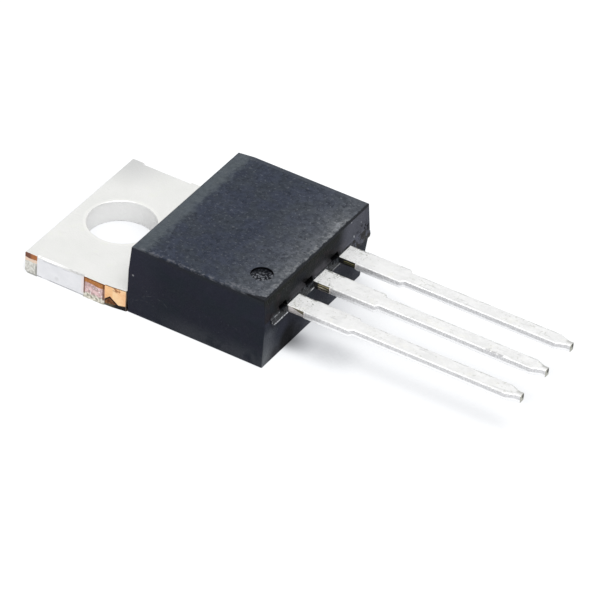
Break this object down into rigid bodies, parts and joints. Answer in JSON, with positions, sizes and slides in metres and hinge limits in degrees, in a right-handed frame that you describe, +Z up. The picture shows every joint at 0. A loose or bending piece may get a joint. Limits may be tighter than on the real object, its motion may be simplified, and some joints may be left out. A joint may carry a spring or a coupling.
{
  "type": "power mosfet",
  "caption": "Power transistor in a moulded package with a drilled heat-sink tab and stamped leads, for screw mounting to a heat sink and soldering into a board.",
  "frame": {"origin": "on the mounting hole's axis, at the flat back face of the tab", "axes": "+X along the leads towards their tips, +Y across the leads from the gate lead towards the source lead, +Z up from the metal back to the top of the moulded body"},
  "size_m": [0.0283, 0.0104, 0.0046],
  "materials": {
    "plated_tab": "matt tin plating on copper",
    "plated_lead": "satin tin plating on copper",
    "silicon": "metallised silicon",
    "solder": "solder fillet, plain",
    "bond_wire": "drawn wire",
    "moulding": "fine-grained epoxy moulding"
  },
  "bodies": {
    "root": {"heat_tab": "plated_tab", "gate_lead": "plated_lead", "source_lead": "plated_lead", "silicon_die": "silicon", "die_solder": "solder", "gate_wire": "bond_wire", "source_wire_1": "bond_wire", "source_wire_2": "bond_wire", "package_body": "moulding"}
  },
  "joints": []
}
